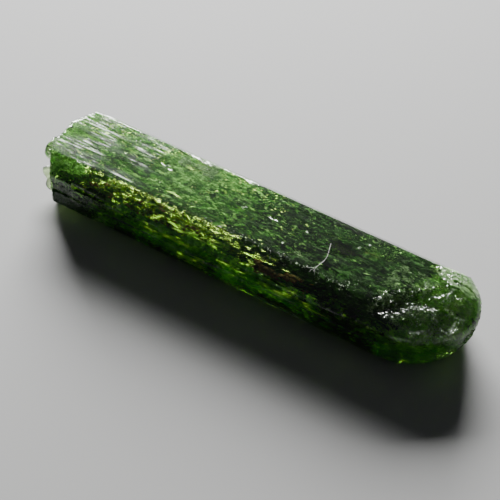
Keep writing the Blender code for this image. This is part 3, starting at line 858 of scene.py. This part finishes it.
# Crushed bits: places on the top as x, y, spread and number
crumbSpots = (
    (8.13, -1.14, 0.22, 34), (7.9, -1.85, 0.2, 34), (8.56, -0.5, 0.14, 12), (9.4, -0.02, 0.22, 46),
    (8.95, -0.8, 0.12, 14), (9.15, -0.88, 0.1, 14), (9.35, -0.88, 0.1, 16), (9.62, -0.77, 0.12, 18),
    (10.06, -0.62, 0.22, 46), (10.4, -0.78, 0.14, 46), (10.54, -0.9, 0.1, 16), (10.3, -0.3, 0.08, 14),
    (10.45, 0.08, 0.08, 16), (10.6, 0.28, 0.1, 20), (10.78, 0.0, 0.08, 16), (10.77, -0.28, 0.08, 14),
    (11.33, -0.45, 0.18, 30), (11.5, -0.7, 0.1, 16), (11.2, -0.95, 0.14, 20), (10.88, -1.04, 0.1, 18),
    (10.6, -1.45, 0.22, 36), (9.84, -1.33, 0.16, 20), (9.54, -1.37, 0.12, 14), (8.4, -1.5, 0.3, 34),
    (8.7, -1.92, 0.25, 20), (9.6, 1.45, 0.2, 30), (10.1, 1.8, 0.2, 24), (-9.9, 1.9, 0.25, 50),
    (-10.9, 0.9, 0.25, 30), (-11.1, -0.9, 0.2, 20), (-8.9, 1.3, 0.3, 26), (-7.4, 1.5, 0.4, 30),
    (-3.6, 1.7, 0.25, 40), (-4.6, 1.6, 0.3, 26), (6.3, -1.6, 0.35, 14),
    (-5.26, 0.38, 0.1, 40), (-0.9, 1.72, 0.08, 20), (-1.11, 1.69, 0.03, 18),
    (-0.43, 0.02, 0.12, 12), (2.96, 0.27, 0.025, 16), (2.35, -0.95, 0.03, 14), (5.9, 1.14, 0.03, 16),
    (5.56, 0.69, 0.06, 14),
    # and a row of them along the front edge, which wavers
    *((x, -1.73 + 0.05 * math.sin(5 * x), 0.16, 8) for x in np.arange(-1.6, 6.6, 0.4)),
)
# Keys as for the flakes, but low and high bound the ground that they land on. Bits sink by a
# share of their size and stand out by "proud" at most. Each spot has "crowd" times its number
# of bits, scattered by a share of its spread
crumbs = {"seed": 71, "placeSeed": 171, "low": (-12, -3, 1.9), "high": (12, 3, 4), "size": 0.019,
          "spread": 0.5, "sink": 0.3, "tilt": 0.35, "stretch": (1.0, 2.8), "thickness": 0.3,
          "proud": 0.15, "corners": 5, "crowd": 1.2, "scatter": 0.8}
# Painted shade: dark matt flakes laid on the front's left end, thinning to the right and to the top
paintedShade = {"seed": 72, "placeSeed": 172, "low": (-10.28, -2.7, 0.4), "high": (-7.0, -2.2, 2.9),
        "size": 0.034, "spread": 0.4, "sink": 0.1, "tilt": 0.08, "stretch": (1.0, 2.5),
        "thickness": 0.12, "proud": 0.03, "corners": 5, "count": 13000, "patch": (0.6, 0.4),
        "blots": 0.4, "share": ((-10.3, -9.0, -7.0), (1.2, 0.7, 0.0)),
        "shareUp": ((0.4, 1.3, 2.5), (1.0, 0.9, 0.0))}


def crumbPlaces():
    # Each spot's bits scatter about it; their height is left to the surface
    generator = np.random.default_rng(crumbs["placeSeed"])
    spots = np.array(crumbSpots)
    spots = np.repeat(spots, (crumbs["crowd"] * spots[:, 3]).astype(int), axis=0)
    places = np.full((len(spots), 3), np.nan)
    places[:, :2] = spots[:, :2] + generator.normal(0, crumbs["scatter"], (len(spots), 2)) * spots[:, 2:3]
    return places


def paintedShadePlaces():
    # Places for the painted shade, spread evenly over the front, kept by a chance that falls along
    # x and z and drifts with a noise
    generator = np.random.default_rng(paintedShade["placeSeed"])
    places = generator.uniform(paintedShade["low"], paintedShade["high"], (paintedShade["count"], 3))
    along, up = paintedShade["patch"]
    blots = fractalNoise(paintedShade["seed"], 3, places[:, 0] / along, places[:, 2] / up)
    chance = np.interp(places[:, 0], *paintedShade["share"]) * np.interp(places[:, 2], *paintedShade["shareUp"])
    places[:, 1] = -crystalWidth / 2
    return places[chance + paintedShade["blots"] * blots > generator.uniform(0, 1, len(places))]


def layOnSurface(name, material, points, wanted, settings):
    # Each bit is a flake laid on the grid point of the crystal nearest to its wanted place,
    # turned the way that the surface faces there
    generator = np.random.default_rng(settings["seed"])
    aroundRing = np.roll(points, -1, axis=1) - np.roll(points, 1, axis=1)
    normal = np.cross(aroundRing, np.gradient(points, axis=0))
    normal /= np.maximum(np.linalg.norm(normal, axis=-1, keepdims=True), 1e-9)
    near = ((points > settings["low"]) & (points < settings["high"])).all(axis=-1)
    ground, facing = points[near], normal[near]
    count = len(wanted)
    given = [i for i in range(3) if not np.isnan(wanted[0, i])]
    apart = sum((ground[None, :, i] - wanted[:, i:i + 1]) ** 2 for i in given)
    nearest = apart.argmin(axis=1)
    sizes = np.exp(generator.normal(math.log(settings["size"]), settings["spread"], count))
    outward = facing[nearest]
    landed = np.where(np.isnan(wanted), ground[nearest], wanted)
    landed -= outward * ((landed - ground[nearest]) * outward).sum(axis=1, keepdims=True)
    places = landed - outward * (settings["sink"] * sizes)[:, None]
    turned = outward + generator.normal(0, settings["tilt"], (count, 3))
    turned /= np.linalg.norm(turned, axis=1, keepdims=True)
    along = generator.normal(0, 1, (count, 3))
    stretch = generator.uniform(*settings["stretch"], count)
    vertices, faces = flakeShapes(places, turned, along, sizes, stretch, settings, generator)
    proud = -insideDepth(vertices).reshape(count, -1).min(axis=1)
    kept = proud < settings["proud"]
    vertices, faces = keepFlakes(vertices, faces, kept)
    addPiece(name, vertices, faces.tolist(), material)
    print(name, kept.sum(), "bits")


# A loose fibre: its thickness, the points round it and along it, and how a strand's path is
# smoothed. The side strands are thinner, and every strand thins to its tips
lint = {
    "thickness": 0.021, "sideStrands": 0.6, "tip": 0.35, "round": 8, "steps": 60, "smoothing": 7,
    "strands": (
        ((4.3, 0.25, 3.37), (4.47, -0.2, 3.47), (4.62, -0.67, 3.42), (4.6, -0.95, 3.37),
         (4.57, -1.23, 3.43), (4.53, -1.55, 3.45), (4.52, -1.8, 3.36)),
        ((4.55, -1.45, 3.44), (4.42, -1.56, 3.42), (4.3, -1.62, 3.39), (4.16, -1.7, 3.36)),
        ((4.53, -1.6, 3.44), (4.4, -1.72, 3.4), (4.33, -1.85, 3.3)),
        ((4.52, -1.62, 3.43), (4.6, -1.76, 3.38), (4.66, -1.88, 3.28)),
    ),
}


def strandTube(path, radius):
    # A circle carried along a smooth path through the given points, thinning to its ends by the
    # root of 4t(1 - t)
    path = np.array(path)
    knots = np.linspace(0, 1, len(path))
    t = np.linspace(0, 1, lint["steps"])
    bend = np.stack([np.interp(t, knots, path[:, i]) for i in range(3)], axis=1)
    kernel = np.hanning(lint["smoothing"] + 2)[1:-1]
    kernel /= kernel.sum()
    ends = lint["smoothing"] // 2
    padded = np.concatenate([np.repeat(bend[:1], ends, 0), bend, np.repeat(bend[-1:], ends, 0)])
    bend = np.stack([np.convolve(padded[:, i], kernel, "valid") for i in range(3)], axis=1)
    forward = np.gradient(bend, axis=0)
    forward /= np.linalg.norm(forward, axis=1, keepdims=True)
    side = np.cross(forward, (0.0, 0.0, 1.0))
    side /= np.linalg.norm(side, axis=1, keepdims=True)
    up = np.cross(side, forward)
    angle = np.linspace(0, 2 * math.pi, lint["round"], endpoint=False)
    thin = radius * (lint["tip"] + (1 - lint["tip"]) * np.sqrt(np.clip(4 * t * (1 - t), 0, 1)))
    circle = np.cos(angle)[:, None] * side[:, None] + np.sin(angle)[:, None] * up[:, None]
    return bend[:, None] + thin[:, None, None] * circle


def makeLint(material):
    # A tube for every strand, all in one mesh
    vertices, faces, used = [], [], 0
    for number, path in enumerate(lint["strands"]):
        rings = strandTube(path, lint["thickness"] / 2 * (1.0 if number == 0 else lint["sideStrands"]))
        points, tube = tubeFaces(rings, np.array([rings[0].mean(0), rings[-1].mean(0)]), used)
        vertices.append(points)
        faces += tube
        used += len(points)
    addPiece("lint", np.concatenate(vertices), faces, material, smooth=True)
    print("lint has", len(faces), "faces")


def addNode(tree, kind, values=()):
    # A shader node with some of its inputs set by name
    node = tree.nodes.new("ShaderNode" + kind)
    for name, value in dict(values).items():
        node.inputs[name].default_value = value
    return node


def join(tree, *links):
    # Links in a row: a node and its output, then a node and its input
    for source, output, target, slot in links:
        tree.links.new(source.outputs[output], target.inputs[slot])


def newMaterial(name, values):
    # A material with its plain shader's inputs set by name
    material = bpy.data.materials.new(name)
    material.use_nodes = True
    shader = material.node_tree.nodes["Principled BSDF"]
    for slot, value in values.items():
        shader.inputs[slot].default_value = value
    return material, material.node_tree, shader


def mottling():
    # Shader group: noise of a given scale drifts between a dark and a light colour
    group = bpy.data.node_groups.new("mottling", "ShaderNodeTree")
    for name, way, kind in (("dark", "INPUT", "Color"), ("light", "INPUT", "Color"),
                            ("scale", "INPUT", "Float"), ("colour", "OUTPUT", "Color")):
        group.interface.new_socket(name, in_out=way, socket_type="NodeSocket" + kind)
    given, result = group.nodes.new("NodeGroupInput"), group.nodes.new("NodeGroupOutput")
    place = addNode(group, "TexCoord")
    noise = addNode(group, "TexNoise", {"Detail": 2.0})
    contrast = addNode(group, "MapRange", {"From Min": 0.38, "From Max": 0.62})
    mix = addNode(group, "Mix")
    mix.data_type = "RGBA"
    join(group, (place, "Object", noise, "Vector"), (given, "scale", noise, "Scale"),
         (noise, "Fac", contrast, "Value"), (contrast, "Result", mix, "Factor"),
         (given, "dark", mix, "A"), (given, "light", mix, "B"), (mix, "Result", result, "colour"))
    return group


# Each finish: dark and light colours, how fine they are mottled, roughness, metallic, specular
finishes = {
    "cloud": ((0.14, 0.42, 0.06), (0.55, 1.0, 0.3), 2500, 0.4, 0.0, 0.5),
    "glow": ((0.2, 0.6, 0.08), (0.55, 1.0, 0.25), 1500, 0.45, 1.0, 0.5),
    "deep": ((0.08, 0.3, 0.03), (0.2, 0.6, 0.09), 1500, 0.5, 0.0, 0.5),
    "dim": ((0.016, 0.08, 0.008), (0.052, 0.21, 0.024), 1500, 0.5, 0.0, 0.5),
    "dark": ((0.01, 0.03, 0.01), (0.03, 0.07, 0.02), 1500, 0.5, 0.0, 0.5),
    "glint": ((0.8, 0.9, 0.6), (0.9, 1.0, 0.85), 2500, 0.15, 1.0, 0.5),
    "gold": ((0.48, 0.66, 0.12), (0.85, 1.0, 0.34), 4000, 0.26, 1.0, 0.5),
    "bright": ((0.6, 0.95, 0.2), (0.9, 1.0, 0.4), 2500, 0.3, 1.0, 0.5),
    "rust": ((0.13, 0.07, 0.015), (0.34, 0.2, 0.05), 4000, 0.6, 0.0, 0.5),
    "pale": ((0.5, 0.66, 0.44), (0.8, 0.88, 0.74), 4000, 0.4, 0.0, 0.5),
    "shelf": ((0.24, 0.42, 0.17), (0.44, 0.62, 0.34), 1500, 0.6, 0.0, 0.5),
    # the painted shade on the front's left end: dark, matt and barely glossy
    "paintedShade": ((0.006, 0.03, 0.004), (0.022, 0.07, 0.014), 5000, 0.8, 0.0, 0.15),
    "lint": ((0.6, 0.6, 0.55), (0.85, 0.85, 0.82), 6000, 0.8, 0.0, 0.5),
}


def flakeFinish(name):
    # An opaque finish of mottled colour, made once for all the pieces that share it
    if name in bpy.data.materials:
        return bpy.data.materials[name]
    dark, light, scale, roughness, metallic, specular = finishes[name]
    material, tree, shader = newMaterial(name, {"Roughness": roughness, "Metallic": metallic,
                                                "Specular IOR Level": specular})
    tone = addNode(tree, "Group")
    tone.node_tree = bpy.data.node_groups.get("mottling") or mottling()
    tone.inputs["dark"].default_value = (*dark, 1)
    tone.inputs["light"].default_value = (*light, 1)
    tone.inputs["scale"].default_value = scale
    join(tree, (tone, "colour", shader, "Base Color"))
    return material


clearLook = {
    "ior": 1.68,
    "absorption": (0.66, 0.785, 0.4, 1.0), "density": 1300.0,    # per metre
    "roughness": (0.115, 0.8),                                   # without frost, and all frost
    # the surface's own faint colours, and the scales of the noise that drifts between them
    "tints": ((0.38, (0.75, 0.9, 0.65, 1)), (0.72, (0.95, 1.0, 0.9, 1))), "blotches": (1500, 3000, 3000),
}


def crystalFinish():
    # See-through, with a plain absorption inside, and rougher where the surface is frosted
    material, tree, shader = newMaterial("greenCrystal", {"Metallic": 0.0, "IOR": clearLook["ior"],
                                                          "Transmission Weight": 1.0})
    frost = addNode(tree, "Attribute")
    frost.attribute_name = "frost"
    place = addNode(tree, "TexCoord")
    drawn = addNode(tree, "Mapping", {"Scale": clearLook["blotches"]})
    blotches = addNode(tree, "TexNoise", {"Scale": 1.0, "Detail": 5.0, "Roughness": 0.65})
    milk = addNode(tree, "ValToRGB")
    for element, (position, tint) in zip(milk.color_ramp.elements, clearLook["tints"]):
        element.position, element.color = position, tint
    least, most = clearLook["roughness"]
    spread = addNode(tree, "MapRange", {"To Min": least, "To Max": most})
    absorb = addNode(tree, "VolumeAbsorption", {"Color": clearLook["absorption"],
                                                "Density": clearLook["density"]})
    join(tree, (place, "Object", drawn, "Vector"), (drawn, "Vector", blotches, "Vector"),
         (blotches, "Fac", milk, "Fac"), (milk, "Color", shader, "Base Color"),
         (frost, "Fac", spread, "Value"), (spread, "Result", shader, "Roughness"),
         (absorb, "Volume", tree.nodes["Material Output"], "Volume"))
    return material


# The studio is in metres, but for the camera's target and lens
studio = {
    "floorSize": 2.0, "floorColour": (0.3, 0.3, 0.295, 1), "floorRoughness": 0.7,
    "azimuth": 32.6, "elevation": 47.0, "distance": 0.0727, "target": (0.48, -0.88, 1.7),
    "focal": 108.0, "sensor": 36.0, "nearest": 0.005,
    # each window: turn from straight behind, height in degrees, distance, width, height, watts
    "windows": ((-35.0, 22.0, 0.25, 0.17, 0.115, 3.8),),
    "ambient": 0.06, "skyColour": (0.9, 0.95, 1.0, 1),
}


def makeFloor():
    # A flat square under the crystal
    material, _, _ = newMaterial("paleFloor", {"Base Color": studio["floorColour"],
                                               "Roughness": studio["floorRoughness"]})
    mesh = bpy.data.meshes.new("floor")
    half = studio["floorSize"] / 2
    corners = [(-half, -half, 0), (half, -half, 0), (half, half, 0), (-half, half, 0)]
    mesh.from_pydata(corners, [], [(0, 1, 2, 3)])
    mesh.materials.append(material)
    floor = bpy.data.objects.new("floor", mesh)
    bpy.context.scene.collection.objects.link(floor)


def wayTo(azimuth, elevation):
    # The way from the middle to a place at an azimuth from the front and a height
    a, e = math.radians(azimuth), math.radians(elevation)
    return np.array((math.sin(a) * math.cos(e), -math.cos(a) * math.cos(e), math.sin(e)))


def aim(thing, away):
    # Turn a camera or light so that its back points away
    thing.rotation_euler = Vector(away).to_track_quat("Z", "Y").to_euler()


def makeCamera():
    # A long lens that looks at its target from the front
    camera = bpy.data.objects.new("camera", bpy.data.cameras.new("camera"))
    bpy.context.scene.collection.objects.link(camera)
    away = wayTo(studio["azimuth"], studio["elevation"])
    camera.location = np.array(studio["target"]) * mm + away * studio["distance"]
    aim(camera, away)
    camera.data.lens = studio["focal"]
    camera.data.sensor_width = studio["sensor"]
    camera.data.clip_start = studio["nearest"]
    bpy.context.scene.camera = camera


def makeLights():
    # Windows behind the crystal, and a faint sky
    for azimuth, elevation, distance, width, height, watts in studio["windows"]:
        light = bpy.data.lights.new("window", "AREA")
        light.shape = "RECTANGLE"
        light.size, light.size_y = width, height
        light.energy = watts
        window = bpy.data.objects.new("window", light)
        bpy.context.scene.collection.objects.link(window)
        away = wayTo(azimuth, elevation) * (1, -1, 1)
        window.location = away * distance
        aim(window, away)
    world = bpy.data.worlds.new("studio")
    bpy.context.scene.world = world
    world.use_nodes = True
    world.node_tree.nodes["Background"].inputs["Color"].default_value = studio["skyColour"]
    world.node_tree.nodes["Background"].inputs["Strength"].default_value = studio["ambient"]


makeFloor()
makeCamera()
makeLights()
print("floor, camera and", len(studio["windows"]), "window made")
surface = makeCrystal(crystalFinish())
for pieceName, (finish, groups) in flakePieces.items():
    scatterInside(pieceName, flakeFinish(finish), groups)
layOnSurface("crumbs", flakeFinish("pale"), surface, crumbPlaces(), crumbs)
# dark matt flakes on the front's left end as painted shade
layOnSurface("paintedShade", flakeFinish("paintedShade"), surface, paintedShadePlaces(), paintedShade)
makeLint(flakeFinish("lint"))
